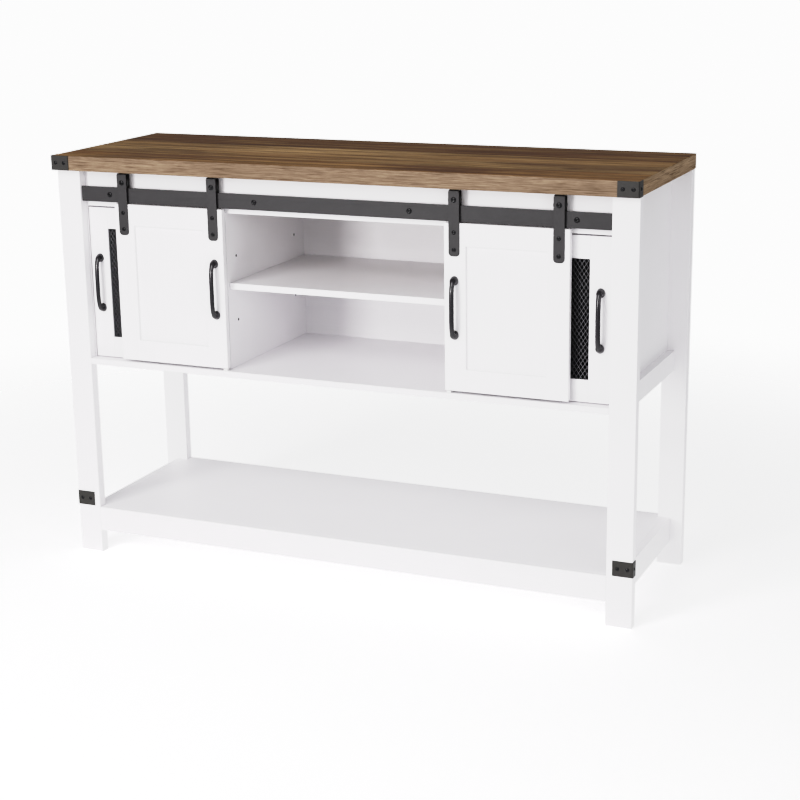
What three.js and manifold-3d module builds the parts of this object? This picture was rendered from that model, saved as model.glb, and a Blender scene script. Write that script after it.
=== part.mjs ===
// Farmhouse sideboard buffet: plank top, four board legs, a cabinet with an open centre,
// two mesh doors at the ends and two sliding barn doors that hang from a flat rail.
// Millimetres. Origin at the bottom centre, +X to the right, +Y to the back, +Z up.

import * as THREE from "three";
import { mergeVertices } from "three/addons/utils/BufferGeometryUtils.js";
import Module from "manifold-3d";

const wasm = await Module();
wasm.setup();

// Overall size
const WIDTH = 1200;
const DEPTH = 398;
const HEIGHT = 830;
const GAP = 0.3; // between a turned piece and what it touches
const THROUGH = 48; // length of a tool that cuts right through a board or a strap

// Sides of round shapes
const PIN_SIDES = 12;
const BORE_SIDES = 16;
const BOLT_SIDES = 20;
const ROLLER_SIDES = 32;
const CORNER_STEPS = 6;
const ARCH_STEPS = 24;

// Sheet and board thicknesses
const BRACKET_T = 1.5;
const TOP_T = 29;
const BOARD_T = 12;
const RAIL_BOARD_T = 15;
const BACK_T = 4;

// Top panel, with the corner brackets around it making up the overall size
const TOP_X = WIDTH / 2 - BRACKET_T;
const TOP_FRONT = -DEPTH / 2 + BRACKET_T;
const TOP_BACK = DEPTH / 2;
const TOP_Z = HEIGHT - TOP_T;

// Legs: boards that stand with their wide side to the front
const LEG_W = 50;
const LEG_T = 20;
const LEG_OUT = 597;
const LEG_IN = LEG_OUT - LEG_W;
const LEG_FRONT = -181;
const FRAME_FRONT = LEG_FRONT + LEG_T;
const FRAME_BACK = 177;
const LEG_BACK = FRAME_BACK + LEG_T;

// Cabinet box
const SIDE_OUT = 557;
const SIDE_IN = SIDE_OUT - BOARD_T;
const FLOOR_Z = 417.5;
const HEADER_Z = 727.5;
const BACK_Y = FRAME_BACK - BACK_T;
const PARTITION_IN = 233;
const PARTITION_OUT = PARTITION_IN + BOARD_T;

// Side rails between the legs, above the ledge line and at the lower shelf
const UPPER_RAIL_Z = [404.5, 444.5];
const LOWER_RAIL_Z = [47, 98];

// Centre shelf on pins, with spare pin holes above and below
const SHELF_Z = 577;
const SHELF_FRONT = -155;
const SHELF_PLAY = 0.5;
const PIN_R = 2.5;
const PIN_IN_BOARD = 8;
const PIN_OUT = 7;
const PIN_COLUMNS = [-123, 128];
const PIN_PITCH = 64;
const PIN_ROWS = [-1, 0, 1];
const PIN_Z = SHELF_Z - PIN_R - GAP;

// Barn doors and their floor guides
const DOOR_W = 240;
const DOOR_X = 350;
const DOOR_T = 12;
const DOOR_FRONT = -180;
const DOOR_BACK = DOOR_FRONT + DOOR_T;
const DOOR_Z = [422.5, 737];
const STILE = 42;
const RECESS = 4.5;
const GROOVE_W = 4;
const GROOVE_DEPTH = 9;
const GROOVE_END = 4;
const GUIDE_X = 236.5;
const GUIDE_FIN = [4, 3, 8];
const GUIDE_FOOT = [8, 8, 3.5];

// Rail, its stand-off bolts and the rollers that run on it
const RAIL_X = 546;
const RAIL_Z = [739, 769];
const RAIL_FRONT = -177;
const RAIL_BACK = -173;
const RAIL_MID = (RAIL_FRONT + RAIL_BACK) / 2;
const BOLT_X = [-481.5, -160.5, 160.5, 481.5];
const BOLT_Z = 754;
const SPACER_R = 8;
const BOLT_R = 3;
const HEAD_R = 5.2;
const HEAD_SHOULDER_R = 4.4;
const HEAD_CROWN_R = 2.8;
const HEAD_T = 2;
const GROOVE_R = 10;
const FLANGE_R = 12.5;
const ROLLER_W = 7;
const FLANGE_T = 1.2;
const AXLE_Z = RAIL_Z[1] + GROOVE_R + GAP;
const NUT_R = 5;
const NUT_T = 2.3;

// Strap hangers, bent over the roller
const STRAP_W = 21;
const STRAP_T = 2;
const STRAP_Z = [676, 797.5];
const STRAP_BACK = [-170, -168];
const STRAP_TAIL_Z = 766;
const STRAP_ROUND = 7;
const STRAP_CHAMFER = 1.5;
const HANGER_OFFSET = 100;

// Mesh doors
const MESH_DOOR_PLAY = 2;
const MESH_DOOR_X = [PARTITION_OUT + MESH_DOOR_PLAY, SIDE_IN - MESH_DOOR_PLAY];
const MESH_DOOR_Z = [419.5, 724.5];
const MESH_DOOR_T = 15;
const MESH_STILE = 41.5;
const MESH_SETBACK = 4;
const MESH_T = 1.5;
const REBATE = 8;
const HINGE_Z = [472, 673];
const HINGE_H = 40;
const HINGE_LEAF = 18;
const KNUCKLE_R = 2.6;

// Arched pulls: the bar follows a rounded arch from foot to foot
const PULL_L = 120;
const PULL_RISE = 19;
const PULL_BAR_W = 9;
const PULL_BAR_T = 6;
const PULL_FOOT_W = 16;
const PULL_FOOT_H = 18;
const PULL_FOOT_T = 4;
const ARCH_POWER = 1 / 2;
const MESH_PULL_X = 522.5;
const BARN_PULL_X = 250;

// Corner brackets
const TOP_BRACKET = [40, 24];
const LEG_BRACKET = [40, 18];
const LEG_BRACKET_Z = [100, 130];

const white = new THREE.MeshStandardMaterial({ color: 0xf1f1f3, roughness: 0.45 });
const plank = new THREE.MeshStandardMaterial({ color: 0x7d5b42, roughness: 0.6 });
const black = new THREE.MeshStandardMaterial({
  color: 0x3a3a3c,
  roughness: 0.55,
  metalness: 0.6,
});
const zinc = new THREE.MeshStandardMaterial({
  color: 0xb8babd,
  roughness: 0.35,
  metalness: 0.9,
});
const plastic = new THREE.MeshStandardMaterial({ color: 0xe9e9ea, roughness: 0.5 });

const sideboard = new THREE.Group();
sideboard.name = "sideboard_buffet";

function add(name, geometry, material) {
  const mesh = new THREE.Mesh(geometry, material);
  mesh.name = name;
  sideboard.add(mesh);
}

// A box from its low and high limits along each axis.
function block(x, y, z) {
  const made = new THREE.BoxGeometry(x[1] - x[0], y[1] - y[0], z[1] - z[0]);
  return made.translate((x[0] + x[1]) / 2, (y[0] + y[1]) / 2, (z[0] + z[1]) / 2);
}

// The same box on the left (side -1) or the right (side 1) of the middle plane.
function sideBlock(side, x, y, z) {
  const limits = [side * x[0], side * x[1]].sort((a, b) => a - b);
  return block(limits, y, z);
}

// A board cut to a plan outline, from z0 up by its thickness.
function planBoard(points, z0, thickness) {
  const outline = new THREE.Shape(points.map(([x, y]) => new THREE.Vector2(x, y)));
  const made = new THREE.ExtrudeGeometry(outline, { depth: thickness, bevelEnabled: false });
  return made.translate(0, 0, z0);
}

// A turned piece on an axis along Y: profile points are [radius, y].
function turned(profile, x, z, segments) {
  const points = profile.map(([r, y]) => new THREE.Vector2(r, y));
  return new THREE.LatheGeometry(points, segments).translate(x, 0, z);
}

// A cylinder along an axis, centred on a place.
function rod(axis, radius, length, place, segments) {
  const made = new THREE.CylinderGeometry(radius, radius, length, segments);
  if (axis === "x") made.rotateZ(-Math.PI / 2);
  if (axis === "z") made.rotateX(Math.PI / 2);
  return made.translate(...place);
}

function solid(geometry) {
  const bare = new THREE.BufferGeometry();
  bare.setAttribute("position", geometry.getAttribute("position"));
  if (geometry.index) bare.setIndex(geometry.index);
  const merged = mergeVertices(bare, 1e-4);
  return new wasm.Manifold(
    new wasm.Mesh({
      numProp: 3,
      vertProperties: merged.attributes.position.array,
      triVerts: new Uint32Array(merged.index.array),
    }),
  );
}

function geometryOf(made) {
  const mesh = made.getMesh();
  const geometry = new THREE.BufferGeometry();
  geometry.setAttribute("position", new THREE.BufferAttribute(mesh.vertProperties, 3));
  geometry.setIndex(new THREE.BufferAttribute(mesh.triVerts, 1));
  return geometry;
}

function join(...pieces) {
  return geometryOf(pieces.map(solid).reduce((all, piece) => all.add(piece)));
}

function cut(body, ...tools) {
  return geometryOf(tools.map(solid).reduce((all, tool) => all.subtract(tool), solid(body)));
}

function common(a, b) {
  return geometryOf(solid(a).intersect(solid(b)));
}

// Left and right, with the sign that places each.
const SIDES = [
  ["left", -1],
  ["right", 1],
];

function addTop() {
  add("top_panel", block([-TOP_X, TOP_X], [TOP_FRONT, TOP_BACK], [TOP_Z, HEIGHT]), plank);
}

function addLegs() {
  for (const [name, side] of SIDES) {
    const x = [LEG_IN, LEG_OUT];
    const z = [0, TOP_Z];
    add(`front_leg_${name}`, sideBlock(side, x, [LEG_FRONT, FRAME_FRONT], z), white);
    add(`back_leg_${name}`, sideBlock(side, x, [FRAME_BACK, LEG_BACK], z), white);
  }
}

// An L of sheet around a front corner: a front plate and a side plate.
function cornerBracket(side, out, front, [across, along], z) {
  const inner = out - BRACKET_T;
  return join(
    sideBlock(side, [out - across, out], [front, front + BRACKET_T], z),
    sideBlock(side, [inner, out], [front, front + along], z),
  );
}

function addBrackets() {
  for (const [name, side] of SIDES) {
    const topZ = [TOP_Z, HEIGHT];
    const topBracket = cornerBracket(side, WIDTH / 2, -DEPTH / 2, TOP_BRACKET, topZ);
    add(`top_corner_bracket_${name}`, topBracket, black);
    const out = LEG_OUT + BRACKET_T;
    const front = LEG_FRONT - BRACKET_T;
    const legBracket = cornerBracket(side, out, front, LEG_BRACKET, LEG_BRACKET_Z);
    add(`leg_corner_bracket_${name}`, legBracket, black);
  }
}

function addCabinetFloor() {
  const back = FRAME_BACK;
  const outline = [
    [-LEG_IN, LEG_FRONT],
    [LEG_IN, LEG_FRONT],
    [LEG_IN, FRAME_FRONT],
    [SIDE_OUT, FRAME_FRONT],
    [SIDE_OUT, back],
    [-SIDE_OUT, back],
    [-SIDE_OUT, FRAME_FRONT],
    [-LEG_IN, FRAME_FRONT],
  ];
  add("cabinet_floor", planBoard(outline, FLOOR_Z - BOARD_T, BOARD_T), white);
}

function addLowerShelf() {
  const front = LEG_FRONT + BOARD_T;
  const outline = [
    [-LEG_IN, front],
    [LEG_IN, front],
    [LEG_IN, FRAME_FRONT],
    [SIDE_OUT, FRAME_FRONT],
    [SIDE_OUT, FRAME_BACK],
    [LEG_IN, FRAME_BACK],
    [LEG_IN, LEG_BACK],
    [-LEG_IN, LEG_BACK],
    [-LEG_IN, FRAME_BACK],
    [-SIDE_OUT, FRAME_BACK],
    [-SIDE_OUT, FRAME_FRONT],
    [-LEG_IN, FRAME_FRONT],
  ];
  const top = LOWER_RAIL_Z[1];
  add("lower_shelf", planBoard(outline, top - BOARD_T, BOARD_T), white);
  const apron = block([-LEG_IN, LEG_IN], [LEG_FRONT, front], LOWER_RAIL_Z);
  add("lower_front_apron", apron, white);
}

function addSides() {
  const y = [FRAME_FRONT, FRAME_BACK];
  const railX = [SIDE_OUT, SIDE_OUT + RAIL_BOARD_T];
  for (const [name, side] of SIDES) {
    add(`side_panel_${name}`, sideBlock(side, [SIDE_IN, SIDE_OUT], y, [FLOOR_Z, TOP_Z]), white);
    add(`upper_side_rail_${name}`, sideBlock(side, railX, y, UPPER_RAIL_Z), white);
    add(`lower_side_rail_${name}`, sideBlock(side, railX, y, LOWER_RAIL_Z), white);
  }
}

function addPartitions() {
  const x = [PARTITION_IN, PARTITION_OUT];
  const headerBack = FRAME_FRONT + BOARD_T;
  for (const [name, side] of SIDES) {
    const low = sideBlock(side, x, [FRAME_FRONT, BACK_Y], [FLOOR_Z, HEADER_Z]);
    const high = sideBlock(side, x, [headerBack, BACK_Y], [HEADER_Z, TOP_Z]);
    const holes = PIN_COLUMNS.flatMap((y) =>
      PIN_ROWS.map((row) => {
        const place = [side * PARTITION_IN, y, PIN_Z + row * PIN_PITCH];
        return rod("x", PIN_R + GAP, 2 * (PIN_IN_BOARD + GAP), place, PIN_SIDES);
      }),
    );
    add(`partition_${name}`, cut(join(low, high), ...holes), white);
  }
}

function addHeaderAndBack() {
  const x = [-SIDE_IN, SIDE_IN];
  const front = [FRAME_FRONT, FRAME_FRONT + BOARD_T];
  add("header_board", block(x, front, [HEADER_Z, TOP_Z]), white);
  add("back_panel", block(x, [BACK_Y, FRAME_BACK], [FLOOR_Z, TOP_Z]), white);
}

function addCentreShelf() {
  const x = [SHELF_PLAY - PARTITION_IN, PARTITION_IN - SHELF_PLAY];
  const y = [SHELF_FRONT, BACK_Y - 2 * SHELF_PLAY];
  add("centre_shelf", block(x, y, [SHELF_Z, SHELF_Z + BOARD_T]), white);
  const middle = PARTITION_IN + (PIN_IN_BOARD - PIN_OUT) / 2;
  for (const [name, side] of SIDES) {
    PIN_COLUMNS.forEach((y, column) => {
      const place = [side * middle, y, PIN_Z];
      const pin = rod("x", PIN_R, PIN_IN_BOARD + PIN_OUT, place, PIN_SIDES);
      add(`shelf_pin_${name}_${column ? "back" : "front"}`, pin, zinc);
    });
  }
}

function addRail() {
  const bar = block([-RAIL_X, RAIL_X], [RAIL_FRONT, RAIL_BACK], RAIL_Z);
  const holes = BOLT_X.map((x) => rod("y", BOLT_R + GAP, THROUGH, [x, RAIL_MID, BOLT_Z], BORE_SIDES));
  add("track_rail", cut(bar, ...holes), black);
  const profile = [
    [0, FRAME_FRONT - GAP],
    [SPACER_R, FRAME_FRONT - GAP],
    [SPACER_R, RAIL_BACK + GAP],
    [BOLT_R, RAIL_BACK + GAP],
    [BOLT_R, RAIL_FRONT - GAP / 2],
    [HEAD_R, RAIL_FRONT - GAP / 2],
    [HEAD_SHOULDER_R, RAIL_FRONT - HEAD_T / 2],
    [HEAD_CROWN_R, RAIL_FRONT - HEAD_T],
    [0, RAIL_FRONT - HEAD_T],
  ];
  BOLT_X.forEach((x, i) => {
    const standOff = turned(profile.toReversed(), x, BOLT_Z, BOLT_SIDES);
    add(`rail_stand_off_${i + 1}`, standOff, black);
  });
}

function barnDoor(side) {
  const x = [DOOR_X - DOOR_W / 2, DOOR_X + DOOR_W / 2];
  const slab = sideBlock(side, x, [DOOR_FRONT, DOOR_BACK], DOOR_Z);
  const recess = sideBlock(
    side,
    [x[0] + STILE, x[1] - STILE],
    [DOOR_FRONT - RECESS, DOOR_FRONT + RECESS],
    [DOOR_Z[0] + STILE, DOOR_Z[1] - STILE],
  );
  const middle = (DOOR_FRONT + DOOR_BACK) / 2;
  const groove = sideBlock(
    side,
    [x[0] + GROOVE_END, x[1] - GROOVE_END],
    [middle - GROOVE_W / 2, middle + GROOVE_W / 2],
    [DOOR_Z[0] - GROOVE_DEPTH, DOOR_Z[0] + GROOVE_DEPTH],
  );
  return cut(slab, recess, groove);
}

// A foot on the cabinet floor with a fin that runs in the groove under the door.
function floorGuide(side) {
  const middle = (DOOR_FRONT + DOOR_BACK) / 2;
  const x = side * GUIDE_X;
  const [footX, footY, footZ] = GUIDE_FOOT;
  const [finX, finY, finZ] = GUIDE_FIN;
  const foot = new THREE.BoxGeometry(footX, footY, footZ);
  const fin = new THREE.BoxGeometry(finX, finY, footZ + finZ);
  return join(
    foot.translate(x, middle, FLOOR_Z + footZ / 2),
    fin.translate(x, middle, FLOOR_Z + (footZ + finZ) / 2),
  );
}

// A flat strap on the door front that bends back over the roller and ends behind it.
function hanger(x) {
  const front = DOOR_FRONT - STRAP_T;
  const [inner, outer] = STRAP_BACK;
  const [low, high] = STRAP_Z;
  const half = STRAP_W / 2;
  const bent = join(
    block([-half, half], [front, DOOR_FRONT], [low, high]),
    block([-half, half], [front, outer], [high - STRAP_T, high]),
    block([-half, half], [inner, outer], [STRAP_TAIL_Z, high]),
  );
  const face = new THREE.Shape();
  face.moveTo(-half, low + STRAP_ROUND);
  face.absarc(STRAP_ROUND - half, low + STRAP_ROUND, STRAP_ROUND, Math.PI, 1.5 * Math.PI);
  face.absarc(half - STRAP_ROUND, low + STRAP_ROUND, STRAP_ROUND, -Math.PI / 2, 0);
  face.lineTo(half, high - STRAP_CHAMFER);
  face.lineTo(half - STRAP_CHAMFER, high);
  face.lineTo(STRAP_CHAMFER - half, high);
  face.lineTo(-half, high - STRAP_CHAMFER);
    const extruded = { depth: THROUGH, bevelEnabled: false, curveSegments: CORNER_STEPS };
  const outline = new THREE.ExtrudeGeometry(face, extruded).rotateX(Math.PI / 2);
  outline.translate(0, RAIL_MID + THROUGH / 2, 0);
  const bore = rod("y", BOLT_R + GAP, THROUGH, [0, RAIL_MID, AXLE_Z], BORE_SIDES);
  const trimmed = common(bent, outline);
  return cut(trimmed, bore).translate(x, 0, 0);
}

function axleBolt(x) {
  const front = DOOR_FRONT - STRAP_T;
  const back = STRAP_BACK[1];
  const profile = [
    [0, front - HEAD_T],
    [HEAD_CROWN_R, front - HEAD_T],
    [HEAD_SHOULDER_R, front - HEAD_T / 2],
    [HEAD_R, front - GAP / 2],
    [BOLT_R, front - GAP / 2],
    [BOLT_R, back + GAP / 2],
    [NUT_R, back + GAP / 2],
    [NUT_R, back + NUT_T],
    [0, back + NUT_T],
  ];
  return turned(profile, x, AXLE_Z, BOLT_SIDES);
}

function roller(x) {
  const front = RAIL_MID - ROLLER_W / 2;
  const back = RAIL_MID + ROLLER_W / 2;
  const bore = BOLT_R + GAP;
  const profile = [
    [bore, front],
    [FLANGE_R, front],
    [FLANGE_R, front + FLANGE_T],
    [GROOVE_R, front + FLANGE_T],
    [GROOVE_R, back - FLANGE_T],
    [FLANGE_R, back - FLANGE_T],
    [FLANGE_R, back],
    [bore, back],
    [bore, front],
  ];
  return turned(profile, x, AXLE_Z, ROLLER_SIDES);
}

// A rounded arch in the plane x = 0 that starts and ends on the door face, y = 0.
class Arch extends THREE.Curve {
  constructor(halfSpan, rise) {
    super();
    this.halfSpan = halfSpan;
    this.rise = rise;
  }

  getPoint(t, target = new THREE.Vector3()) {
    const angle = Math.PI * (1 - t);
    const along = Math.sign(Math.cos(angle)) * Math.abs(Math.cos(angle)) ** ARCH_POWER;
    const out = Math.abs(Math.sin(angle)) ** ARCH_POWER;
    return target.set(0, -this.rise * out, this.halfSpan * along);
  }
}

// An arched bar with an oval foot at each end, standing on a door front at y.
function pull(x, y, z) {
  const footZ = (PULL_L - PULL_FOOT_H) / 2;
  const section = new THREE.Shape();
  section.absellipse(0, 0, PULL_BAR_W / 2, PULL_BAR_T / 2, 0, 2 * Math.PI);
  const arch = new Arch(footZ, PULL_RISE - PULL_BAR_T / 2);
  const swept = { steps: ARCH_STEPS, extrudePath: arch, curveSegments: CORNER_STEPS };
  const bar = new THREE.ExtrudeGeometry(section, swept);
  const feet = [-footZ, footZ].map((place) => {
    const middle = [0, -PULL_FOOT_T / 2, 0];
    const foot = rod("y", PULL_FOOT_W / 2, PULL_FOOT_T, middle, BORE_SIDES);
    return foot.scale(1, 1, PULL_FOOT_H / PULL_FOOT_W).translate(0, 0, place);
  });
  const behind = new THREE.BoxGeometry(PULL_L, PULL_RISE, 2 * PULL_L);
  const made = cut(join(bar, ...feet), behind.translate(0, PULL_RISE / 2, 0));
  return made.translate(x, y, z);
}

function meshDoorFrame(side) {
  const [inX, outX] = MESH_DOOR_X;
  const [lowZ, highZ] = MESH_DOOR_Z;
  const front = FRAME_FRONT;
  const mesh = front + MESH_SETBACK;
  const back = front + MESH_DOOR_T;
  const board = sideBlock(side, MESH_DOOR_X, [front, back], MESH_DOOR_Z);
  const light = sideBlock(
    side,
    [inX + MESH_STILE, outX - MESH_STILE],
    [front - THROUGH, back + THROUGH],
    [lowZ + MESH_STILE, highZ - MESH_STILE],
  );
  const edge = MESH_STILE - REBATE - GAP;
  const rebate = sideBlock(
    side,
    [inX + edge, outX - edge],
    [mesh, back + THROUGH],
    [lowZ + edge, highZ - edge],
  );
  return cut(board, light, rebate);
}

function meshPanel(side) {
  const edge = MESH_STILE - REBATE;
  const y = FRAME_FRONT + MESH_SETBACK;
  return sideBlock(
    side,
    [MESH_DOOR_X[0] + edge, MESH_DOOR_X[1] - edge],
    [y, y + MESH_T],
    [MESH_DOOR_Z[0] + edge, MESH_DOOR_Z[1] - edge],
  );
}

// A closed butt hinge: both leaves between the door edge and the partition, knuckle in front.
function hinge(side, z) {
  const leafX = [PARTITION_OUT + GAP, MESH_DOOR_X[0] - GAP];
  const axisY = FRAME_FRONT - KNUCKLE_R - GAP;
  const height = [z - HINGE_H / 2, z + HINGE_H / 2];
  const leaf = sideBlock(side, leafX, [axisY, FRAME_FRONT + HINGE_LEAF], height);
  const axisX = (side * (leafX[0] + leafX[1])) / 2;
  return join(leaf, rod("z", KNUCKLE_R, HINGE_H, [axisX, axisY, z], BORE_SIDES));
}

function addBarnDoors() {
  const pullZ = (DOOR_Z[0] + DOOR_Z[1]) / 2;
  for (const [name, side] of SIDES) {
    add(`barn_door_${name}`, barnDoor(side), white);
    add(`floor_guide_${name}`, floorGuide(side), plastic);
    add(`barn_door_pull_${name}`, pull(side * BARN_PULL_X, DOOR_FRONT, pullZ), black);
    const ends = [
      ["inner", DOOR_X - HANGER_OFFSET],
      ["outer", DOOR_X + HANGER_OFFSET],
    ];
    for (const [end, x] of ends) {
      add(`hanger_${name}_${end}`, hanger(side * x), black);
      add(`axle_bolt_${name}_${end}`, axleBolt(side * x), black);
      add(`roller_${name}_${end}`, roller(side * x), black);
    }
  }
}

function addMeshDoors() {
  const pullZ = (MESH_DOOR_Z[0] + MESH_DOOR_Z[1]) / 2;
  for (const [name, side] of SIDES) {
    add(`mesh_door_frame_${name}`, meshDoorFrame(side), white);
    add(`mesh_panel_${name}`, meshPanel(side), black);
    add(`mesh_door_pull_${name}`, pull(side * MESH_PULL_X, FRAME_FRONT, pullZ), black);
    HINGE_Z.forEach((z, level) => {
      add(`hinge_${name}_${level ? "upper" : "lower"}`, hinge(side, z), black);
    });
  }
}

addTop();
addLegs();
addBrackets();
addCabinetFloor();
addLowerShelf();
addSides();
addPartitions();
addHeaderAndBack();
addCentreShelf();
addRail();
addBarnDoors();
addMeshDoors();

export default sideboard;
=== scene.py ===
"""Looks of the farmhouse sideboard: boards, plank top, rail, rollers, straps, pulls and mesh.

Metres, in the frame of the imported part: +X right, +Y back, +Z up, floor at z = 0.
"""

import math

import bmesh
import bpy
from mathutils import Matrix, Vector


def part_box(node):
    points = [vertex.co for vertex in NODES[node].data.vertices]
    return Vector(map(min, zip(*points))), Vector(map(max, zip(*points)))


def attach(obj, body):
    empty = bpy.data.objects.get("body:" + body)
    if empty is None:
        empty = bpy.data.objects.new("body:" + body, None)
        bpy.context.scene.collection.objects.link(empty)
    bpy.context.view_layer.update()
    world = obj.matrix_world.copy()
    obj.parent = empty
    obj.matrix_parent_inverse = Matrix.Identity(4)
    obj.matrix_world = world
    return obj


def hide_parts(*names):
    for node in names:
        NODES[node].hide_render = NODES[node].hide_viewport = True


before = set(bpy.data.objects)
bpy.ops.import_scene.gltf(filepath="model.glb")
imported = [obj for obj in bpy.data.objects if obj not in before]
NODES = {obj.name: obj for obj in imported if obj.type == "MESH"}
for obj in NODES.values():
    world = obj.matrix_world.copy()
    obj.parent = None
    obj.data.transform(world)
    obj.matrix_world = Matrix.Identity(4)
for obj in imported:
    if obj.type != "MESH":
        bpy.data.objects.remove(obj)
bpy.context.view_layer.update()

SIDES = (("left", -1), ("right", 1))
ENDS = ("inner", "outer")
MM = 0.001
EDGE = 0.8 * MM


# ---------------------------------------------------------------- materials


class Shader:
    """A Principled material whose colour, roughness and relief come from nodes."""

    def __init__(self, name, **sockets):
        self.material = bpy.data.materials.new(name)
        self.material.use_nodes = True
        self.tree = self.material.node_tree
        self.bsdf = self.tree.nodes["Principled BSDF"]
        for socket, value in sockets.items():
            self.bsdf.inputs[socket.replace("_", " ")].default_value = value
        self.coords = self.tree.nodes.new("ShaderNodeTexCoord")

    def node(self, kind, inputs=(), **settings):
        made = self.tree.nodes.new("ShaderNode" + kind)
        for key, value in settings.items():
            setattr(made, key, value)
        for key, value in dict(inputs).items():
            self.feed(made.inputs[key], value)
        return made

    def feed(self, socket, value):
        if isinstance(value, bpy.types.NodeSocket):
            self.tree.links.new(value, socket)
        else:
            socket.default_value = value

    def scaled(self, scale, vector=None):
        """Object coordinates times a scale for each axis, so that a noise runs along one."""
        source = vector or self.coords.outputs["Object"]
        return self.node("VectorMath", {0: source, 1: scale}, operation="MULTIPLY").outputs[0]

    def noise(self, scale, detail=4.0, roughness=0.5, distortion=0.0, vector=None):
        inputs = {
            "Vector": self.scaled(scale, vector),
            "Scale": 1.0,
            "Detail": detail,
            "Roughness": roughness,
            "Distortion": distortion,
        }
        return self.node("TexNoise", inputs).outputs["Fac"]

    def spread(self, value, low, high, to_low=0.0, to_high=1.0):
        inputs = {
            "Value": value,
            "From Min": low,
            "From Max": high,
            "To Min": to_low,
            "To Max": to_high,
        }
        return self.node("MapRange", inputs).outputs[0]

    def maths(self, operation, a, b=0.0):
        return self.node("Math", {0: a, 1: b}, operation=operation).outputs[0]

    def mix(self, amount, a, b, blend="MIX"):
        made = self.node("Mix", {}, data_type="RGBA", blend_type=blend)
        self.feed(made.inputs["Factor"], amount)
        self.feed(made.inputs[6], a)
        self.feed(made.inputs[7], b)
        return made.outputs[2]

    def within(self, low, high):
        """1 inside a box of object coordinates and its mirror image in x, 0 outside."""
        split = self.node("SeparateXYZ", {0: self.coords.outputs["Object"]})
        axes = [self.maths("ABSOLUTE", split.outputs["X"]), split.outputs["Y"], split.outputs["Z"]]
        inside = 1.0
        for place, start, stop in zip(axes, low, high):
            inside = self.maths("MULTIPLY", inside, self.maths("GREATER_THAN", place, start))
            inside = self.maths("MULTIPLY", inside, self.maths("LESS_THAN", place, stop))
        return inside

    def colour(self, value):
        self.feed(self.bsdf.inputs["Base Color"], value)

    def rough(self, value):
        self.feed(self.bsdf.inputs["Roughness"], value)

    def relief(self, height, strength, distance):
        inputs = {"Height": height, "Strength": strength, "Distance": distance}
        self.feed(self.bsdf.inputs["Normal"], self.node("Bump", inputs).outputs[0])


SKIN = 0.2 * MM


def painted_shade_bay():
    """The space of the right end bay, whose faces behind the mesh get a painted grey shade."""
    below_door = 10 * MM
    over_top = 1.0
    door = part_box("mesh_door_frame_right")
    low = (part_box("partition_right")[1].x - SKIN, door[1].y - SKIN, door[0].z - below_door)
    high = (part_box("side_panel_right")[0].x + SKIN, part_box("back_panel")[0].y + SKIN, over_top)
    return low, high


def pin_holes():
    """The part of the right partition that holds the blind pin holes, whose walls get a painted dark
    shade.
    """
    depth = 8 * MM
    rim = 10 * MM
    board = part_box("partition_right")
    low = (board[0].x + SKIN, board[0].y + rim, board[0].z + rim)
    high = (board[0].x + depth + SKIN, board[1].y - rim, board[1].z - rim)
    return low, high


PAINTED_SHADE_BAY = painted_shade_bay()
PIN_HOLES = pin_holes()


def along(axis, length_scale, cross_scale):
    """Noise scale that is coarse along one axis, as wood grain is."""
    scale = [cross_scale] * 3
    scale["xyz".index(axis)] = length_scale
    return scale


def white_board(axis):
    """Satin white finish with a faint grain pressed into it along the board, darkened as painted
    shade inside the end bays and the pin holes.
    """
    shader = Shader(f"white_board_{axis}", IOR=1.46)
    cloud = shader.noise([6.0] * 3, detail=3.0)
    grain = shader.noise(along(axis, 7.0, 420.0), detail=5.0, roughness=0.6)
    pores = shader.noise(along(axis, 35.0, 900.0), detail=2.0)
    peel = shader.noise([700.0] * 3, detail=2.0)
    tone = shader.mix(0.4, cloud, grain)
    light = (0.868, 0.852, 0.870, 1.0)
    shade = (0.824, 0.808, 0.826, 1.0)
    bay_painted_shade = (0.20, 0.197, 0.20, 1.0)
    pin_hole_painted_shade = (0.035, 0.030, 0.026, 1.0)
    paint = shader.mix(shader.spread(tone, 0.3, 0.7), shade, light)
    # Painted shade: the faces inside the end bays, behind the mesh, are darkened to grey.
    paint = shader.mix(shader.within(*PAINTED_SHADE_BAY), paint, bay_painted_shade)
    # Painted shade: the walls of the blind pin holes are darkened nearly to black.
    paint = shader.mix(shader.within(*PIN_HOLES), paint, pin_hole_painted_shade)
    shader.colour(paint)
    shader.rough(shader.spread(grain, 0.3, 0.7, 0.34, 0.5))
    pressed = shader.maths("ADD", grain, shader.maths("MULTIPLY", pores, 0.5))
    height = shader.maths("ADD", pressed, shader.maths("MULTIPLY", peel, 0.35))
    shader.relief(height, 0.16, 0.25 * MM)
    return shader.material


PLANK_LINES = (-0.114, 0.061)
# How far from its line a seam is at full strength, and how far away it has faded.
SEAM_REACH = (0.3 * MM, 1.2 * MM)


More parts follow.
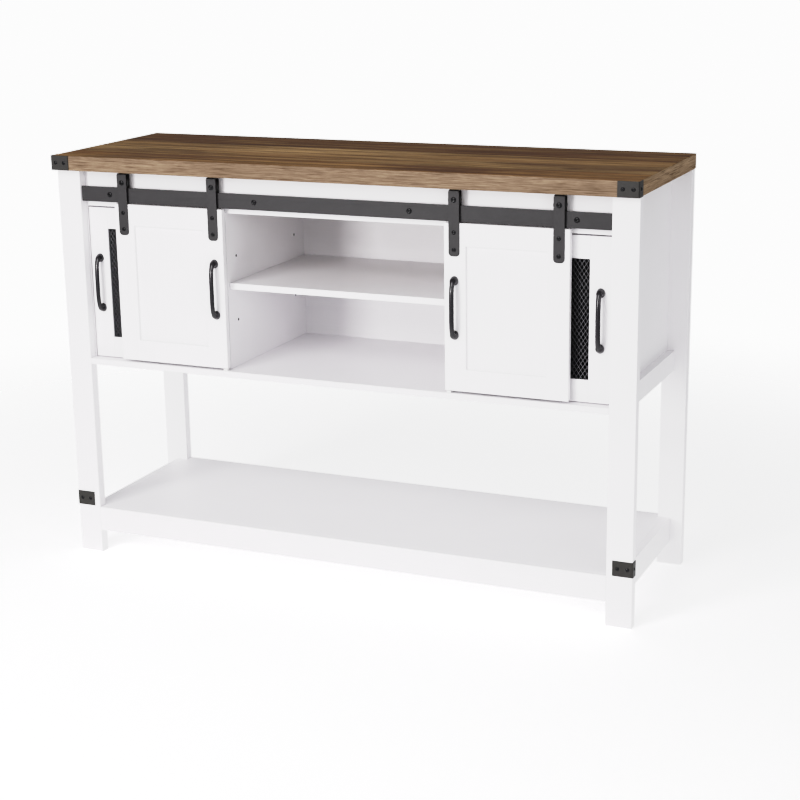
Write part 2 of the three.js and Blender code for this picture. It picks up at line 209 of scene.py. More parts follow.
def plank_top():
    """Brown planks side by side along X, with streaks, fine grain, knots and a paler edge."""
    pale = (0.425, 0.272, 0.139, 1.0)
    brown = (0.224, 0.120, 0.055, 1.0)
    dark = (0.056, 0.027, 0.012, 1.0)
    smoky = (0.083, 0.039, 0.017, 1.0)
    knot_core = (0.022, 0.012, 0.007, 1.0)
    seam_dark = (0.022, 0.012, 0.008, 1.0)
    tan = (0.236, 0.176, 0.122, 1.0)
    umber = (0.128, 0.088, 0.056, 1.0)
    front_tone = (0.76, 0.66, 0.50, 1.0)
    middle_tone = (0.98, 0.98, 0.84, 1.0)
    back_tone = (0.47, 0.41, 0.31, 1.0)
    # Painted light: the ends of the top are lightened by this factor.
    end_painted_light = (1.52, 1.44, 1.29, 1.0)

    shader = Shader("plank_top", IOR=1.35, Specular_IOR_Level=0.3)
    split = shader.node("SeparateXYZ", {0: shader.coords.outputs["Object"]})
    face = shader.node("SeparateXYZ", {0: shader.coords.outputs["Normal"]})
    end = shader.spread(shader.maths("ABSOLUTE", face.outputs["X"]), 0.5, 0.8)
    flat = shader.spread(face.outputs["Z"], 0.4, 0.8)
    # On the ends the grain turns to run along the depth.
    x, y, z = (split.outputs[axis] for axis in "XYZ")
    turned = shader.node("CombineXYZ", {0: y, 1: x, 2: z})
    place = shader.node("Mix", {}, data_type="VECTOR")
    shader.feed(place.inputs["Factor"], end)
    shader.feed(place.inputs[4], shader.coords.outputs["Object"])
    shader.feed(place.inputs[5], turned.outputs[0])
    where = place.outputs[1]

    # Which plank a point is on, as a number that shifts its pattern and tone.
    middle = shader.maths("GREATER_THAN", y, PLANK_LINES[0])
    back = shader.maths("GREATER_THAN", y, PLANK_LINES[1])
    plank = shader.maths("MULTIPLY", shader.maths("ADD", middle, back), flat)
    far = shader.maths("MULTIPLY", plank, 3.7)
    deep = shader.maths("MULTIPLY", plank, 1.3)
    shift = shader.node("CombineXYZ", {0: far, 2: deep})
    moved = shader.node("VectorMath", {0: where, 1: shift.outputs[0]}, operation="ADD").outputs[0]

    # Knots push the grain aside and darken at their core.
    cells = shader.node(
        "TexVoronoi",
        {"Vector": shader.scaled([2.6, 6.5, 6.5], moved), "Scale": 1.0, "Randomness": 0.9},
    )
    reach = cells.outputs["Distance"]
    knot = shader.spread(reach, 0.0, 0.24, 1.0, 0.0)
    core = shader.spread(reach, 0.02, 0.085, 1.0, 0.0)
    swerve = shader.maths("MULTIPLY", shader.maths("POWER", knot, 2.0), 0.016)
    push = shader.node("CombineXYZ", {1: swerve})
    bent = shader.node("VectorMath", {0: moved, 1: push.outputs[0]}, operation="ADD").outputs[0]

    broad = shader.noise([1.3, 15.0, 15.0], detail=4.0, roughness=0.6, distortion=0.35, vector=bent)
    streak = shader.noise([2.6, 70.0, 70.0], detail=7.0, roughness=0.68, distortion=0.25, vector=bent)
    fine = shader.noise([16.0, 420.0, 420.0], detail=6.0, roughness=0.7, vector=bent)
    pores = shader.noise([38.0, 900.0, 900.0], detail=2.0, vector=bent)
    fleck = shader.noise([18.0, 480.0, 480.0], detail=3.0, vector=bent)
    sawn = shader.noise([20.0, 460.0, 460.0], detail=6.0, roughness=0.75, vector=bent)
    patch = shader.noise([1.9, 6.0, 6.0], detail=3.0, distortion=0.4, vector=moved)

    body = shader.mix(shader.spread(broad, 0.41, 0.59), brown, pale)
    body = shader.mix(shader.spread(streak, 0.55, 0.41, 0.0, 0.75), body, dark)
    # The back plank is the darkest, the middle one has an olive cast.
    tone = shader.mix(middle, front_tone, middle_tone)
    tone = shader.mix(back, tone, back_tone)
    top = shader.mix(1.0, body, tone, "MULTIPLY")
    top = shader.mix(shader.spread(patch, 0.50, 0.62, 0.0, 0.7), top, smoky)

    # The edge band is a paler print than the top; on the ends it is made lighter still as painted
    # light.
    band = shader.mix(shader.spread(sawn, 0.38, 0.58), umber, tan)
    band = shader.mix(shader.spread(streak, 0.56, 0.42, 0.0, 0.45), band, umber)
    band = shader.mix(end, band, shader.mix(1.0, band, end_painted_light, "MULTIPLY"))
    # Fine dark grain, short dark flecks and the knots' cores lie over both.
    whole = shader.mix(flat, band, top)
    whole = shader.mix(shader.spread(fine, 0.50, 0.36, 0.0, 0.6), whole, dark)
    whole = shader.mix(shader.spread(fleck, 0.60, 0.68, 0.0, 0.7), whole, dark)
    whole = shader.mix(shader.maths("MULTIPLY", core, 0.8), whole, knot_core)

    # Dark lines where the planks of the print meet.
    seams = None
    for line in PLANK_LINES:
        gap = shader.maths("ABSOLUTE", shader.maths("SUBTRACT", y, line))
        seam = shader.spread(gap, *SEAM_REACH, 1.0, 0.0)
        seams = seam if seams is None else shader.maths("MAXIMUM", seams, seam)
    seams = shader.maths("MULTIPLY", seams, flat)
    whole = shader.mix(shader.maths("MULTIPLY", seams, 0.75), whole, seam_dark)
    shader.colour(whole)
    shader.rough(shader.spread(fine, 0.35, 0.65, 0.78, 0.60))
    relief = shader.maths("MULTIPLY", fine, 0.7)
    relief = shader.maths("ADD", relief, shader.maths("MULTIPLY", pores, 0.5))
    relief = shader.maths("SUBTRACT", relief, shader.maths("MULTIPLY", seams, 1.5))
    relief = shader.maths("SUBTRACT", relief, core)
    shader.relief(relief, 0.45, 0.3 * MM)
    return shader.material


def coated_metal(name, colour, low, high, grit, gloss=0.5):
    """A coat over metal with a fine orange-peel relief and a slightly uneven sheen.

    low and high are the ends of its roughness, grit is how fine the peel is.
    """
    shader = Shader(name, IOR=1.5, Specular_IOR_Level=gloss)
    cloud_lift = 1.28
    speck_lift = 1.9
    speck_scale = grit * 2.3
    cloud = shader.noise([38.0] * 3, detail=3.0)
    peel = shader.noise([grit] * 3, detail=3.0, roughness=0.6)
    speck = shader.noise([speck_scale] * 3, detail=1.0)
    lifted = [c * cloud_lift for c in colour[:3]] + [1.0]
    bright = [c * speck_lift for c in colour[:3]] + [1.0]
    tone = shader.mix(shader.spread(cloud, 0.3, 0.7), colour, lifted)
    tone = shader.mix(shader.spread(speck, 0.62, 0.74, 0.0, 0.35), tone, bright)
    shader.colour(tone)
    shader.rough(shader.spread(peel, 0.3, 0.7, low, high))
    shader.relief(peel, 0.22, 0.12 * MM)
    return shader.material


def zinc():
    """Bright plated steel with fine lines along its length."""
    shader = Shader("zinc", Metallic=1.0)
    lines = shader.noise([120.0, 2500.0, 2500.0], detail=2.0)
    shader.colour(shader.mix(lines, (0.50, 0.51, 0.53, 1.0), (0.72, 0.73, 0.75, 1.0)))
    shader.rough(shader.spread(lines, 0.3, 0.7, 0.22, 0.36))
    shader.relief(lines, 0.08, 0.05 * MM)
    return shader.material


def moulded_plastic():
    """White moulded plastic with a fine spark-eroded grain."""
    shader = Shader("moulded_plastic", IOR=1.5)
    grain = shader.noise([1400.0] * 3, detail=2.0)
    cloud = shader.noise([90.0] * 3)
    shader.colour(shader.mix(cloud, (0.74, 0.74, 0.73, 1.0), (0.82, 0.82, 0.81, 1.0)))
    shader.rough(shader.spread(grain, 0.3, 0.7, 0.42, 0.58))
    shader.relief(grain, 0.15, 0.1 * MM)
    return shader.material


WHITE = {axis: white_board(axis) for axis in "xyz"}
PLANK = plank_top()
COAT = coated_metal("charcoal_coat", (0.0120, 0.0108, 0.0120, 1.0), 0.42, 0.60, 900.0, 0.42)
PLATE = coated_metal("bracket_coat", (0.0110, 0.0099, 0.0086, 1.0), 0.42, 0.62, 700.0, 0.42)
BOLT = coated_metal("bolt_black", (0.005, 0.005, 0.006, 1.0), 0.18, 0.30, 1500.0, 0.22)
PULL = coated_metal("pull_black", (0.009, 0.008, 0.010, 1.0), 0.18, 0.30, 1100.0)
WIRE = coated_metal("mesh_black", (0.080, 0.078, 0.084, 1.0), 0.28, 0.42, 1800.0)
ZINC = zinc()
PLASTIC = moulded_plastic()


# ------------------------------------------------------------------- pieces


def soften(piece, width, segments=2, angle=30.0):
    """Rounds every sharp edge of a piece a little, as a real edge is."""
    weld = piece.modifiers.new("weld", "WELD")
    weld.merge_threshold = 0.01 * MM
    bevel = piece.modifiers.new("edges", "BEVEL")
    bevel.width = width
    bevel.segments = segments
    bevel.limit_method = "ANGLE"
    bevel.angle_limit = math.radians(angle)
    bevel.harden_normals = False
    normals = piece.modifiers.new("normals", "WEIGHTED_NORMAL")
    normals.keep_sharp = True


def dress(node, material, edge=EDGE):
    """Gives a CAD node its finish and softens its edges."""
    piece = NODES[node]
    piece.data.materials.clear()
    piece.data.materials.append(material)
    soften(piece, edge)


def build(name, mesh, material, body, replaced=()):
    """A new piece from a bmesh, riding on a body and standing for CAD nodes."""
    bmesh.ops.recalc_face_normals(mesh, faces=mesh.faces)
    data = bpy.data.meshes.new(name)
    mesh.to_mesh(data)
    mesh.free()
    data.materials.append(material)
    piece = bpy.data.objects.new(name, data)
    bpy.context.scene.collection.objects.link(piece)
    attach(piece, body)
    if replaced:
        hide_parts(*replaced)
    return piece


def smooth(piece, angle=35.0):
    """Shades a piece smooth, with its hard edges kept."""
    for face in piece.data.polygons:
        face.use_smooth = True
    piece.data.set_sharp_from_angle(angle=math.radians(angle))


def carved(mesh, solids, voids=()):
    """Adds the outside of some boxes less some other boxes, as one closed skin of flat faces."""
    boxes = list(solids) + list(voids)
    lines = [sorted({round(b[end][k], 7) for b in boxes for end in (0, 1)}) for k in range(3)]

    def full(cell):
        if any(not 0 <= cell[k] < len(lines[k]) - 1 for k in range(3)):
            return False
        middle = [(lines[k][cell[k]] + lines[k][cell[k] + 1]) / 2 for k in range(3)]
        inside = [all(b[0][k] < middle[k] < b[1][k] for k in range(3)) for b in boxes]
        return any(inside[: len(solids)]) and not any(inside[len(solids) :])

    corners = {}

    def corner(index):
        if index not in corners:
            corners[index] = mesh.verts.new([lines[k][index[k]] for k in range(3)])
        return corners[index]

    made = []
    counts = [range(len(line) - 1) for line in lines]
    for cell in ((i, j, k) for i in counts[0] for j in counts[1] for k in counts[2]):
        if not full(cell):
            continue
        for axis in range(3):
            for step in (0, 1):
                beside = list(cell)
                beside[axis] += 2 * step - 1
                if full(tuple(beside)):
                    continue
                u, v = [k for k in range(3) if k != axis]
                ring = []
                for du, dv in ((0, 0), (1, 0), (1, 1), (0, 1)):
                    index = list(cell)
                    index[axis] += step
                    index[u] += du
                    index[v] += dv
                    ring.append(corner(tuple(index)))
                made.append(mesh.faces.new(ring))
    bmesh.ops.recalc_face_normals(mesh, faces=made)
    # A dict keeps the edges in the order in which they were made, so every run is the same.
    edges = dict.fromkeys(edge for face in made for edge in face.edges)
    bmesh.ops.dissolve_limit(
        mesh, angle_limit=0.01, verts=list(corners.values()), edges=list(edges)
    )


def rings(mesh, loops, closed_ends=True):
    """Joins loops of points, each a list of the same length, into one skin."""
    rows = [[mesh.verts.new(point) for point in loop] for loop in loops]
    count = len(rows[0])
    for low, high in zip(rows, rows[1:]):
        for i in range(count):
            j = (i + 1) % count
            mesh.faces.new([low[i], low[j], high[j], high[i]])
    if closed_ends:
        mesh.faces.new(rows[0][::-1])
        mesh.faces.new(rows[-1])
    else:
        for i in range(count):
            j = (i + 1) % count
            mesh.faces.new([rows[-1][i], rows[-1][j], rows[0][j], rows[0][i]])


def turned(mesh, centre, axis, profile, count=32, hexagon=None, closed_ends=True):
    """Turns a profile of (radius, distance along the axis) round an axis through a point.

    Rings whose index is in hexagon follow a six-sided outline, as a key socket or a nut does.
    """
    axis = Vector(axis).normalized()
    side = axis.orthogonal().normalized()
    other = axis.cross(side)
    sixth = math.pi / 3
    loops = []
    for index, (radius, distance) in enumerate(profile):
        loop = []
        for i in range(count):
            angle = 2 * math.pi * i / count
            reach = radius
            if hexagon and index in hexagon:
                reach *= math.cos(sixth / 2) / math.cos((angle + sixth / 2) % sixth - sixth / 2)
            spoke = side * math.cos(angle) + other * math.sin(angle)
            loop.append(Vector(centre) + spoke * reach + axis * distance)
        loops.append(loop)
    rings(mesh, loops, closed_ends)


def button_head(mesh, centre, axis, radius, height):
    """A domed screw head with a hexagonal key socket; centre is on the face it sits on."""
    sunk = 0.2 * MM
    first, last = math.radians(12), math.radians(74)
    steps = 6
    dome = []
    for i in range(steps + 1):
        angle = first + (last - first) * i / steps
        dome.append((radius * math.cos(angle) / math.cos(first), height * math.sin(angle)))
    profile = [(radius * 0.9, -sunk), (radius, 0.0), *dome]
    rim = len(profile)
    top = height * math.sin(math.radians(80))
    lip = 0.15 * MM
    socket = radius * 0.48
    profile += [(socket * 1.12, top), (socket, top - lip), (socket * 0.96, top * 0.25)]
    turned(mesh, centre, axis, profile, 36, hexagon={rim, rim + 1, rim + 2})


def bent_sheet(mesh, path, widths, across, thickness):
    """A strip of sheet along a path; the sheet lies on the left of the path, seen along across."""
    across = Vector(across)
    loops = []
    for i, point in enumerate(path):
        before = path[max(i - 1, 0)]
        after = path[min(i + 1, len(path) - 1)]
        tangent = (Vector(after) - Vector(before)).normalized()
        inward = across.cross(tangent)
        outer = Vector(point)
        inner = outer + inward * thickness
        half = across * widths[i]
        loops.append([outer - half, outer + half, inner + half, inner - half])
    rings(mesh, loops)


def arc(centre, radius, start, stop, count, axes=(0, 1, 2)):
    """Points on an arc in the plane of the first two of axes; the third keeps the centre's value."""
    points = []
    for i in range(count + 1):
        angle = math.radians(start + (stop - start) * i / count)
        point = [0.0, 0.0, 0.0]
        point[axes[0]] = centre[axes[0]] + radius * math.cos(angle)
        point[axes[1]] = centre[axes[1]] + radius * math.sin(angle)
        point[axes[2]] = centre[axes[2]]
        points.append(point)
    return points


# ------------------------------------------------------------------- boards

GRAIN = {
    "z": ["front_leg", "back_leg", "side_panel", "partition", "barn_door"],
    "y": ["upper_side_rail", "lower_side_rail"],
}


def dress_boards():
    for axis, names in GRAIN.items():
        for name in names:
            for side, _ in SIDES:
                dress(f"{name}_{side}", WHITE[axis])
    for name in ("cabinet_floor", "lower_shelf", "lower_front_apron", "header_board", "centre_shelf"):
        dress(name, WHITE["x"])
    dress("back_panel", WHITE["x"], 0.3 * MM)
    dress("top_panel", PLANK, 1.2 * MM)
    dress("track_rail", COAT, 0.5 * MM)
    for side, _ in SIDES:
        dress(f"floor_guide_{side}", PLASTIC, 0.4 * MM)
        for place in ("front", "back"):
            dress(f"shelf_pin_{side}_{place}", ZINC, 0.5 * MM)


def mesh_door_frames():
    """Two stiles and two rails for each end door, with the rebate that holds the mesh."""
    for side, _ in SIDES:
        low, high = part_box(f"mesh_door_frame_{side}")
        panel_low, panel_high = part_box(f"mesh_panel_{side}")
        play = 0.3 * MM
        lip = 8 * MM
        seat = panel_low.y
        light_x = (panel_low.x + lip, panel_high.x - lip)
        light_z = (panel_low.z + lip, panel_high.z - lip)
        back_x = (panel_low.x - play, panel_high.x + play)
        back_z = (panel_low.z - play, panel_high.z + play)
        window = ((light_x[0], low.y - lip, light_z[0]), (light_x[1], high.y + lip, light_z[1]))
        rebate = ((back_x[0], seat, back_z[0]), (back_x[1], high.y + lip, back_z[1]))
        bars = {
            "left_stile": ((low.x, low.y, low.z), (light_x[0], high.y, high.z)),
            "right_stile": ((light_x[1], low.y, low.z), (high.x, high.y, high.z)),
            "upper_rail": ((light_x[0], low.y, light_z[1]), (light_x[1], high.y, high.z)),
            "lower_rail": ((light_x[0], low.y, low.z), (light_x[1], high.y, light_z[0])),
        }
        for name, bar in bars.items():
            mesh = bmesh.new()
            carved(mesh, [bar], [window, rebate])
            axis = "z" if "stile" in name else "x"
            piece = build(
                f"mesh_door_{side}_{name}",
                mesh,
                WHITE[axis],
                "cabinet",
                [f"mesh_door_frame_{side}"],
            )
            soften(piece, 0.5 * MM)


# -------------------------------------------------------------------- mesh

DIAMOND = (8.0 * MM, 12.3 * MM)
STRAND = 0.75 * MM
SHEET = 0.4 * MM
LOUVRE = 0.08 * MM


def expanded_mesh(side):
    """A sheet of diamonds cut and pulled open, each strand twisted a little out of the sheet."""
    low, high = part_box(f"mesh_panel_{side}")
    mid = (low.y + high.y) / 2
    counts = [round((high[k] - low[k]) / (DIAMOND[n] / 2)) for n, k in enumerate((0, 2))]
    half = [(high[k] - low[k]) / counts[n] for n, k in enumerate((0, 2))]
    # How far the hole's corners stand in from the diamond's, so that a strand has its width.
    slant = math.hypot(*half)
    inset = [STRAND / 2 * slant / half[1 - n] for n in range(2)]
    mesh = bmesh.new()
    shared = {}

    def knot(i, j, back):
        key = (i, j, back)
        if key not in shared:
            y = mid + SHEET / 2 * back
            shared[key] = mesh.verts.new((low.x + i * half[0], y, low.z + j * half[1]))
        return shared[key]

    used = {}
    for i in range(1, counts[0]):
        for j in range(1, counts[1]):
            if (i + j) % 2:
                continue
            corners = [(i, j + 1), (i + 1, j), (i, j - 1), (i - 1, j)]
            reach = [(0, 1, -LOUVRE), (1, 0, 0.0), (0, -1, LOUVRE), (-1, 0, 0.0)]
            hole = {}
            for back in (-1, 1):
                hole[back] = []
                for dx, dz, lean in reach:
                    x = low.x + i * half[0] + dx * (half[0] - inset[0])
                    z = low.z + j * half[1] + dz * (half[1] - inset[1])
                    hole[back].append(mesh.verts.new((x, mid + lean + SHEET / 2 * back, z)))
            for k in range(4):
                n = (k + 1) % 4
                a, b = corners[k], corners[n]
                for back in (-1, 1):
                    face = [knot(*a, back), knot(*b, back), hole[back][n], hole[back][k]]
                    mesh.faces.new(face if back < 0 else face[::-1])
                mesh.faces.new([hole[-1][k], hole[-1][n], hole[1][n], hole[1][k]])
                used.setdefault(frozenset((a, b)), []).append((a, b))
    for edges in used.values():
        if len(edges) == 1:
            a, b = edges[0]
            mesh.faces.new([knot(*a, -1), knot(*a, 1), knot(*b, 1), knot(*b, -1)])
    build(f"expanded_mesh_{side}", mesh, WIRE, "cabinet", [f"mesh_panel_{side}"])


# ----------------------------------------------------------------- fittings

HEAD_R = 5.2 * MM
SHANK_R = 3 * MM
# A screw's head is given as its radius and height.
STRAP_SCREW = (4.0 * MM, 1.5 * MM)
STRAP_SCREW_LEVELS = (("upper", 720 * MM), ("lower", 688 * MM))
BRACKET_SCREW = (3.7 * MM, 1.3 * MM)
# How far the bracket screws are from the corner, along the front and along the side.
BRACKET_FRONT_SCREWS = (11 * MM, 30 * MM)
BRACKET_SIDE_SCREW = {"top": 13 * MM, "leg": 9 * MM}
STAND_OFFS = 4


def evenly(points, count):
    """Points at equal distances along a path, with the distance of each from its nearer end."""
    lengths = [0.0]
    for a, b in zip(points, points[1:]):
        lengths.append(lengths[-1] + (b - a).length)
    placed = []
    k = 0
    for i in range(count + 1):
        reach = lengths[-1] * i / count
        while k < len(points) - 2 and lengths[k + 1] < reach:
            k += 1
        share = (reach - lengths[k]) / (lengths[k + 1] - lengths[k])
        placed.append((points[k].lerp(points[k + 1], share), min(reach, lengths[-1] - reach)))
    return placed


def pull(name, body):
    """An arched pull that swells into an oval foot at each end."""
    low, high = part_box(name)
    x = (low.x + high.x) / 2
    z = (low.z + high.z) / 2
    foot = ((high.x - low.x) / 2, 9 * MM)
    bar = (4.7 * MM, 3.2 * MM)
    swell_wide = 10 * MM
    swell_deep = 8 * MM
    span = (high.z - low.z) / 2 - foot[1]
    rise = high.y - low.y - bar[1]
    power = 1 / 2
    fine_steps = 800
    steps = 80
    sides = 28
    outline = []
    for i in range(fine_steps + 1):
        angle = math.pi * (1 - i / fine_steps)
        reach = math.copysign(abs(math.cos(angle)) ** power, math.cos(angle))
        out = max(math.sin(angle), 0.0) ** power
        outline.append(Vector((x, high.y - rise * out, z + span * reach)))
    path = evenly(outline, steps)
    loops = []
    for i, (point, near) in enumerate(path):
        before = path[max(i - 1, 0)][0]
        after = path[min(i + 1, len(path) - 1)][0]
        normal = Vector((1, 0, 0)).cross((after - before).normalized())
        if near == 0.0:
            normal = Vector((0, 0, -1 if i == 0 else 1))
        wide = bar[0] + (foot[0] - bar[0]) * math.exp(-((near / swell_wide) ** 3))
        deep = bar[1] + (foot[1] - bar[1]) * math.exp(-((near / swell_deep) ** 2))
        loop = []
        for k in range(sides):
            angle = 2 * math.pi * k / sides
            across = Vector((wide * math.cos(angle), 0, 0))
            loop.append(point + across + normal * deep * math.sin(angle))
        loops.append(loop)
    mesh = bmesh.new()
    rings(mesh, loops)
    piece = build(f"{name}_bar", mesh, PULL, body, [name])
    smooth(piece, 50.0)


def pulls():
    for side, _ in SIDES:
        pull(f"barn_door_pull_{side}", f"{side}_door")
        pull(f"mesh_door_pull_{side}", "cabinet")


def hanger(side, end):
    """A strap that lies on the door, bends over the roller and comes down behind the rail."""
    node = f"hanger_{side}_{end}"
    low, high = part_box(node)
    x = (low.x + high.x) / 2
    half = (high.x - low.x) / 2
    thickness = 2 * MM
    below_roller = 0.8 * MM
    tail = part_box(f"roller_{side}_{end}")[0].z - below_roller
    tip = 7 * MM
    tip_steps = 8
    neck = 0.9 * MM
    half_neck = neck * 0.55
    bend = 2.8 * MM
    bend_steps = 6
    front, back = low.y, high.y
    path = []
    widths = []
    for i in range(tip_steps + 1):
        step = tip * (1 - math.cos(math.pi / 2 * i / tip_steps))
        path.append((x, front, low.z + step))
        widths.append(half - tip + math.sqrt(max(tip**2 - (tip - step) ** 2, 0.0)))
    for height, width in ((high.z - bend - neck, half), (high.z - bend, half - half_neck)):
        path.append((x, front, height))
        widths.append(width)
    turn = arc((x, front + bend, high.z - bend), bend, 180, 90, bend_steps, (1, 2, 0))
    turn += arc((x, back - bend, high.z - bend), bend, 90, 0, bend_steps, (1, 2, 0))
    for point in turn:
        path.append(tuple(point))
        widths.append(half - neck)
    path += [(x, back, high.z - bend - neck), (x, back, tail)]
    widths += [half, half]
    mesh = bmesh.new()
    bent_sheet(mesh, path, widths, (-1, 0, 0), thickness)
    piece = build(f"{node}_strap", mesh, COAT, f"{side}_door", [node])
    soften(piece, 0.35 * MM)
    for level, height in STRAP_SCREW_LEVELS:
        screw = bmesh.new()
        button_head(screw, (x, front, height), (0, -1, 0), *STRAP_SCREW)
        piece = build(f"{node}_{level}_screw", screw, BOLT, f"{side}_door")
        smooth(piece)


def axle_bolt(side, end):
    """A bolt whose domed head is on the strap's face, with its shank and the nut behind."""
    node = f"axle_bolt_{side}_{end}"
    low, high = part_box(node)
    x = (low.x + high.x) / 2
    z = (low.z + high.z) / 2
    strap_low, strap_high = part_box(f"hanger_{side}_{end}")
    into_nut = 2 * MM
    mesh = bmesh.new()
    button_head(mesh, (x, strap_low.y, z), (0, -1, 0), HEAD_R, strap_low.y - low.y)
    shank = [(SHANK_R, 0), (SHANK_R, strap_high.y - strap_low.y + into_nut)]
    turned(mesh, (x, strap_low.y, z), (0, 1, 0), shank)
    nut_r = 5 * MM
    eased = 4.3 * MM
    thick = high.y - strap_high.y
    nut = [(eased, 0.15 * MM), (nut_r, 0.5 * MM), (nut_r, thick - 0.4 * MM), (eased, thick)]
    turned(mesh, (x, strap_high.y, z), (0, 1, 0), nut, 36, hexagon={0, 1, 2, 3})
    piece = build(f"{node}_set", mesh, BOLT, f"{side}_door", [node])
    smooth(piece)


def roller(side, end):
    """A grooved wheel with rounded flanges and a hub face on each side."""
    node = f"roller_{side}_{end}"
    low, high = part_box(node)
    centre = ((low.x + high.x) / 2, low.y, (low.z + high.z) / 2)
    rim = (high.x - low.x) / 2
    groove = 10 * MM
    bore = 3.3 * MM
    hub = 6.5 * MM
    width = high.y - low.y
    flange = 1.2 * MM
    dish = 0.4 * MM
    ease = 0.35 * MM
    profile = [
        (bore, 0.0),
        (hub, 0.0),
        (hub + dish, dish),
        (rim - 2 * MM, dish),
        (rim - 1.6 * MM, 0.0),
        (rim - ease, 0.0),
        (rim, ease),
        (rim, flange - ease),
        (rim - ease, flange),
        (groove + ease, flange + 0.2 * MM),
        (groove, flange + 0.5 * MM),
    ]
    mirrored = [(radius, width - distance) for radius, distance in reversed(profile)]
    mesh = bmesh.new()
    turned(mesh, centre, (0, 1, 0), profile + mirrored, 64, closed_ends=False)
    piece = build(f"{node}_wheel", mesh, COAT, f"{side}_{end}_roller", [node])
    smooth(piece)


def stand_off(number):
    """The rail's bolt with its domed head and the tube that spaces the rail off the header."""
    node = f"rail_stand_off_{number}"
    low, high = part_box(node)
    x = (low.x + high.x) / 2
    z = (low.z + high.z) / 2
    rail_low, rail_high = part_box("track_rail")
    mesh = bmesh.new()
    seat = (x, rail_low.y, z)
    button_head(mesh, seat, (0, -1, 0), HEAD_R, rail_low.y - low.y)
    turned(mesh, seat, (0, 1, 0), [(SHANK_R, 0), (SHANK_R, high.y - rail_low.y)])
    radius = (high.x - low.x) / 2
    ease = 0.4 * MM
    gap = 0.3 * MM
    length = high.y - rail_high.y - gap
    tube = [(radius - ease, 0), (radius, ease), (radius, length - ease), (radius - ease, length)]
    turned(mesh, (x, rail_high.y + gap, z), (0, 1, 0), tube, 40)
    piece = build(f"{node}_bolt", mesh, BOLT, "cabinet", [node])
    smooth(piece)


def rail_fittings():
    for number in range(1, STAND_OFFS + 1):
        stand_off(number)
    for side, _ in SIDES:
        for end in ENDS:
            hanger(side, end)
            axle_bolt(side, end)
            roller(side, end)


def corner_bracket(node, sign, side_screw):
    """A bent sheet round a front corner, with two screws in front and one at the side."""
    low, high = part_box(node)
    thickness = 1.5 * MM
    bend = 2 * MM
    outer = high.x if sign > 0 else low.x
    inner = low.x if sign > 0 else high.x
    z = (low.z + high.z) / 2
    centre = (outer - sign * bend, low.y + bend, z)
    turn = arc(centre, bend, 270, 360, 6)
    if sign < 0:
        turn = [(2 * centre[0] - px, py, pz) for px, py, pz in turn]
    path = [(inner, low.y, z), *[tuple(p) for p in turn], (outer, high.y, z)]
    half = (high.z - low.z) / 2
    mesh = bmesh.new()
    bent_sheet(mesh, path, [half] * len(path), (0, 0, sign), thickness)
    piece = build(f"{node}_sheet", mesh, PLATE, "cabinet", [node])
    soften(piece, 0.3 * MM)
    screws = bmesh.new()
    for offset in BRACKET_FRONT_SCREWS:
        button_head(screws, (outer - sign * offset, low.y, z), (0, -1, 0), *BRACKET_SCREW)
    button_head(screws, (outer, low.y + side_screw, z), (sign, 0, 0), *BRACKET_SCREW)
    piece = build(f"{node}_screws", screws, BOLT, "cabinet")
    smooth(piece)


def corner_brackets():
    for side, sign in SIDES:
        for place, side_screw in BRACKET_SIDE_SCREW.items():
            corner_bracket(f"{place}_corner_bracket_{side}", sign, side_screw)


def hinge(side, level):
    """A closed butt hinge: two leaves side by side and a knuckle in three lengths."""
    node = f"hinge_{side}_{level}"
    low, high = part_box(node)
    radius = (high.x - low.x) / 2
    axis = ((low.x + high.x) / 2, low.y + radius, low.z)
    height = high.z - low.z
    mesh = bmesh.new()
    lengths = 3
    share = height / lengths
    slit = 0.15 * MM
    ease = 0.3 * MM
    for part in range(lengths):
        start, stop = part * share + slit, (part + 1) * share - slit
        barrel = [(radius - ease, start), (radius, start + ease)]
        barrel += [(radius, stop - ease), (radius - ease, stop)]
        turned(mesh, axis, (0, 0, 1), barrel, 24)
    leaf = 0.6 * MM
    slip = 0.08 * MM
    for step in (-1, 1):
        faces = (axis[0] + step * slip, axis[0] + step * (slip + leaf))
        start = (min(faces), axis[1] + radius * 0.5, low.z)
        carved(mesh, [(start, (max(faces), high.y, high.z))])
    piece = build(f"{node}_leaves", mesh, BOLT, "cabinet", [node])
    smooth(piece)


# -------------------------------------------------------------------- stage


def camera():
    """The viewpoint: from the front right, a little above the top."""
    yaw, pitch, roll = 0.413, 0.267, 0.015
    place = Vector((1.4101, -3.0829, 1.2612))
    level = Vector((-math.sin(yaw), math.cos(yaw), 0.0))
    ahead = level * math.cos(pitch) - Vector((0, 0, math.sin(pitch)))
    right = Vector((math.cos(yaw), math.sin(yaw), 0.0))
    down = ahead.cross(right)
    tilted = right * math.cos(roll) + down * math.sin(roll)
    sunk = down * math.cos(roll) - right * math.sin(roll)
    data = bpy.data.cameras.new("camera")
    data.sensor_width = 36.0
    data.lens = 78.35
    data.clip_end = 100.0
    made = bpy.data.objects.new("camera", data)
    bpy.context.scene.collection.objects.link(made)
    turn = Matrix((tilted, -sunk, -ahead)).transposed().to_4x4()
    made.matrix_world = Matrix.Translation(place) @ turn
    bpy.context.scene.camera = made


def area_light(name, place, target, size, power, colour):
    data = bpy.data.lights.new(name, "AREA")
    data.shape = "RECTANGLE"
    data.size, data.size_y = size
    data.energy = power
    data.color = colour
    made = bpy.data.objects.new(name, data)
    made.location = place
    made.rotation_euler = (Vector(target) - Vector(place)).to_track_quat("-Z", "Y").to_euler()
    bpy.context.scene.collection.objects.link(made)


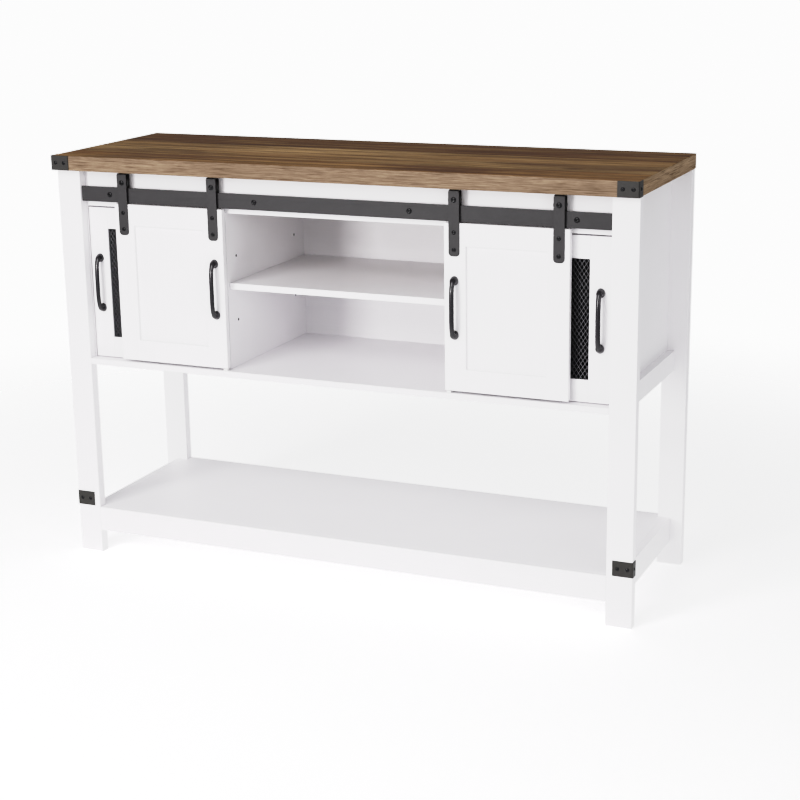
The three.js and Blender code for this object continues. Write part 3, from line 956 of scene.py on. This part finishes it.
def surround():
    """A world that looks white behind the object and lights it more softly than that."""
    world = bpy.data.worlds.new("surround")
    world.use_nodes = True
    tree = world.node_tree
    seen = tree.nodes["Background"]
    seen.inputs["Color"].default_value = (1.0, 1.0, 1.0, 1.0)
    seen.inputs["Strength"].default_value = 2.0
    glow = tree.nodes.new("ShaderNodeBackground")
    glow.inputs["Color"].default_value = (0.98, 0.985, 1.0, 1.0)
    glow.inputs["Strength"].default_value = 0.54
    ray = tree.nodes.new("ShaderNodeLightPath")
    either = tree.nodes.new("ShaderNodeMixShader")
    tree.links.new(ray.outputs["Is Camera Ray"], either.inputs[0])
    tree.links.new(glow.outputs[0], either.inputs[1])
    tree.links.new(seen.outputs[0], either.inputs[2])
    tree.links.new(either.outputs[0], tree.nodes["World Output"].inputs["Surface"])
    bpy.context.scene.world = world


def lights():
    """A key low at the front left, a fill at the front right and a wide light high in front."""
    target = (0.0, 0.0, 0.5)
    area_light("key", (-1.6, -4.2, 0.9), target, (1.0, 1.0), 96.0, (1.0, 0.98, 0.985))
    area_light("fill", (3.6, -3.0, 1.3), target, (2.0, 2.0), 37.0, (0.985, 0.99, 1.0))
    area_light("overhead", (-0.7, -3.3, 2.5), target, (2.4, 1.6), 90.0, (1.0, 0.985, 0.99))


def film():
    """A photographic curve: deep blacks, and whites that keep apart instead of clipping."""
    view = bpy.context.scene.view_settings
    view.view_transform = "Standard"
    view.use_curve_mapping = True
    white = 2.3
    view.curve_mapping.white_level = (white, white, white)
    toe = ((0.045, 0.027), (0.1, 0.083), (0.2, 0.195))
    rise = ((0.4, 0.44), (0.6, 0.62), (0.9, 0.765))
    shoulder = ((1.2, 0.825), (1.6, 0.87), (1.9, 0.94), (2.1, 1.0))
    points = view.curve_mapping.curves[3].points
    for lit, shown in toe + rise + shoulder:
        points.new(lit / white, shown)
    view.curve_mapping.update()


def pale_floor():
    """A pale disc under the object that fades into the surround."""
    radius = 2.6
    sides = 96
    full_within = 0.6
    gone_beyond = radius * 0.9
    thrown, looked_at = 0.62, 1.0
    mesh = bmesh.new()
    bmesh.ops.create_circle(mesh, cap_ends=True, radius=radius, segments=sides)
    data = bpy.data.meshes.new("floor")
    mesh.to_mesh(data)
    mesh.free()
    shader = Shader("floor", IOR=1.3, Emission_Color=(1.0, 1.0, 1.0, 1.0))
    # The floor looks brighter than the light it throws up at the object.
    ray = shader.node("LightPath")
    glow = shader.spread(ray.outputs["Is Camera Ray"], 0.0, 1.0, thrown, looked_at)
    shader.feed(shader.bsdf.inputs["Emission Strength"], glow)
    cloud = shader.noise([3.0] * 3)
    shader.colour(shader.mix(cloud, (0.90, 0.90, 0.90, 1.0), (0.93, 0.93, 0.93, 1.0)))
    shader.rough(0.8)
    reach = shader.node("VectorMath", {0: shader.coords.outputs["Object"]}, operation="LENGTH")
    fade = shader.node("MapRange", {"Value": reach.outputs["Value"]}, interpolation_type="SMOOTHSTEP")
    fade.inputs["From Min"].default_value = full_within
    fade.inputs["From Max"].default_value = gone_beyond
    fade.inputs["To Min"].default_value = 1.0
    fade.inputs["To Max"].default_value = 0.0
    shader.feed(shader.bsdf.inputs["Alpha"], fade.outputs[0])
    data.materials.append(shader.material)
    floor = bpy.data.objects.new("floor", data)
    bpy.context.scene.collection.objects.link(floor)


camera()
surround()
lights()
film()
pale_floor()
dress_boards()
mesh_door_frames()
for side, _ in SIDES:
    expanded_mesh(side)
    for level in ("lower", "upper"):
        hinge(side, level)
pulls()
rail_fittings()
corner_brackets()
